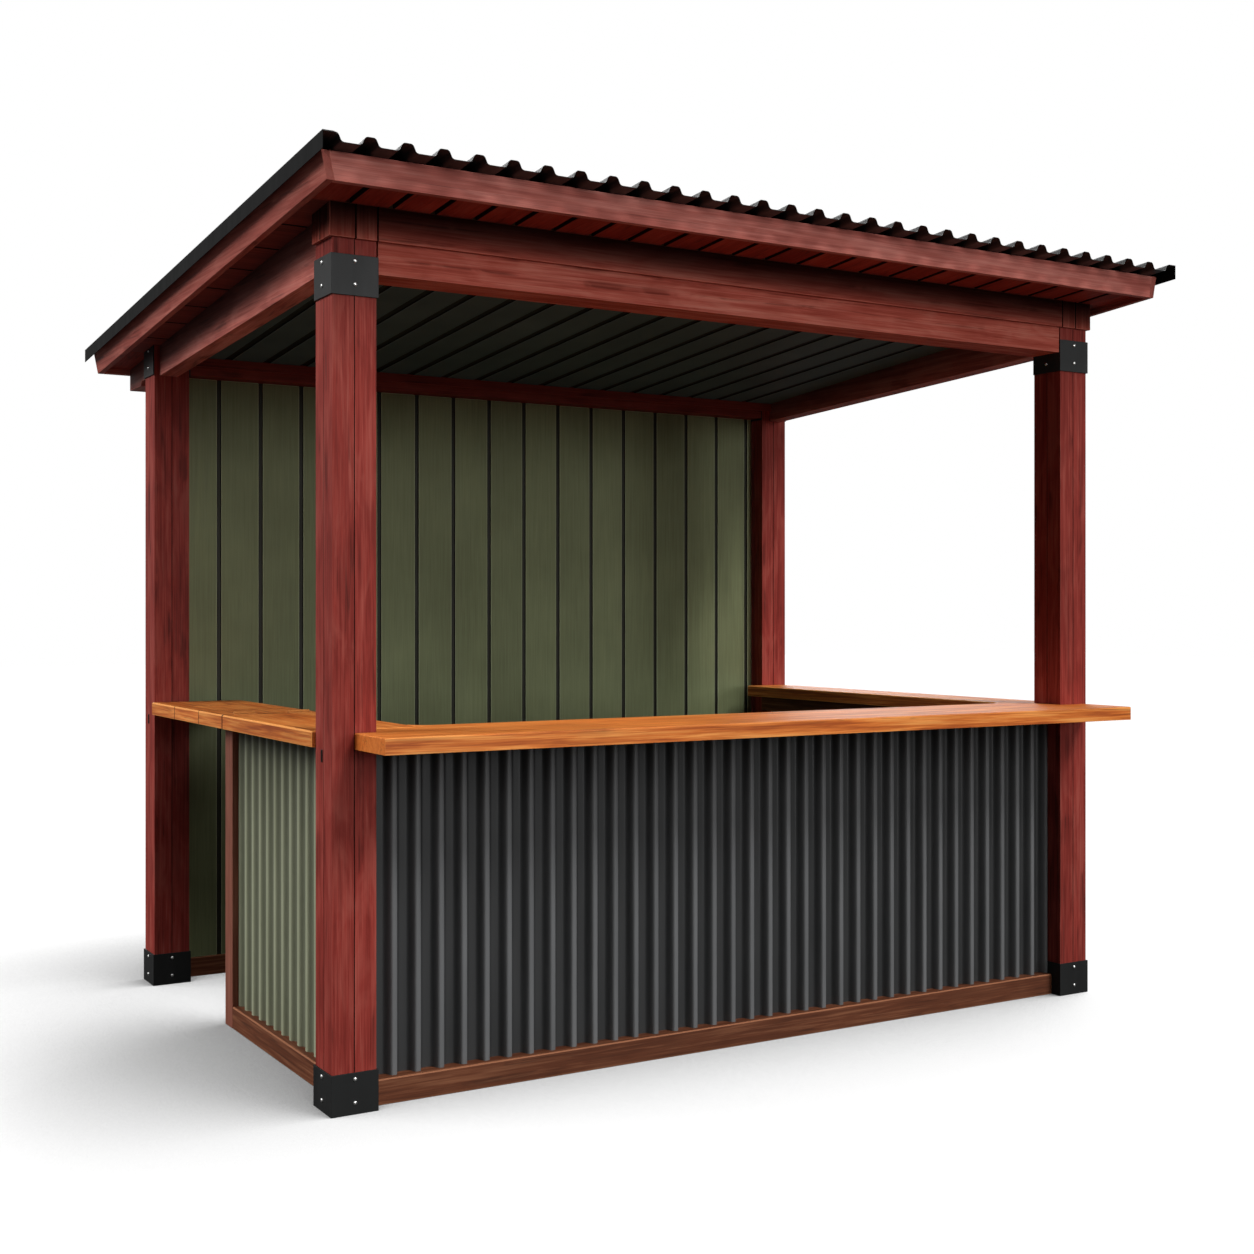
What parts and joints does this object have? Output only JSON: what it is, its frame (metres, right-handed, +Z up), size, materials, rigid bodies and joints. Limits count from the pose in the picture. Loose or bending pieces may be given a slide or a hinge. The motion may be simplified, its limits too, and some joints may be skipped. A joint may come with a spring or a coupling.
{
  "type": "garden bar",
  "caption": "Open timber garden bar with a lean-to ribbed steel roof, corrugated panels under a wrap-around wooden counter, a boarded back wall and a lift-up counter flap.",
  "frame": {"origin": "on the ground under the middle of the roof", "axes": "+X along the serving front to the right, +Y from the serving front to the back wall, +Z up"},
  "size_m": [3.3036, 2.765, 2.7261],
  "materials": {
    "red_timber": "red-stained planed softwood",
    "brown_timber": "brown-stained softwood",
    "rough_timber": "bare sawn softwood",
    "counter_wood": "oiled orange-brown timber",
    "green_boards": "olive green painted boards",
    "black_boards": "dark painted boards",
    "green_sheet": "sage green coated steel sheet",
    "charcoal_sheet": "charcoal coated steel sheet",
    "black_sheet": "black coated steel sheet",
    "black_steel": "black powder-coated plate",
    "hinge_steel": "dull steel"
  },
  "bodies": {
    "root": {"back_base_rail": "brown_timber", "back_wall": "green_boards", "ceiling": "black_boards", "flap_hinge_fixed": "hinge_steel", "frieze_returns": "red_timber", "front_base_rail": "brown_timber", "front_beam": "red_timber", "front_collars": "black_steel", "front_counter": "counter_wood", "front_fascia": "red_timber", "front_frieze": "red_timber", "front_panel": "charcoal_sheet", "front_soffit": "red_timber", "front_top_rail": "brown_timber", "left_base_rail": "brown_timber", "left_beam": "red_timber", "left_counter": "counter_wood", "left_end_stud": "brown_timber", "left_fascia": "red_timber", "left_panel": "green_sheet", "left_soffit": "red_timber", "left_top_rail": "brown_timber", "left_verge_trim": "black_sheet", "panel_studs": "brown_timber", "post_front_left": "red_timber", "post_front_right": "red_timber", "post_rear_left": "red_timber", "post_rear_right": "red_timber", "post_shoes": "black_steel", "rear_beam": "red_timber", "rear_ceiling_trim": "red_timber", "rear_collars": "black_steel", "rear_fascia": "red_timber", "rear_soffit": "red_timber", "right_base_rail": "brown_timber", "right_beam": "red_timber", "right_counter": "counter_wood", "right_fascia": "red_timber", "right_panel": "green_sheet", "right_soffit": "red_timber", "right_top_rail": "brown_timber", "right_verge_trim": "black_sheet", "roof_purlins": "rough_timber", "roof_sheet": "black_sheet"},
    "flap": {"counter_flap": "counter_wood", "flap_hinge_moving": "hinge_steel"}
  },
  "joints": [
    {"name": "flap_hinge", "type": "hinge", "parent": "root", "child": "flap", "pos_m": [-1.3485, -0.0685, 1.1025], "axis": [1, 0, 0], "range_deg": [0, 95]}
  ]
}
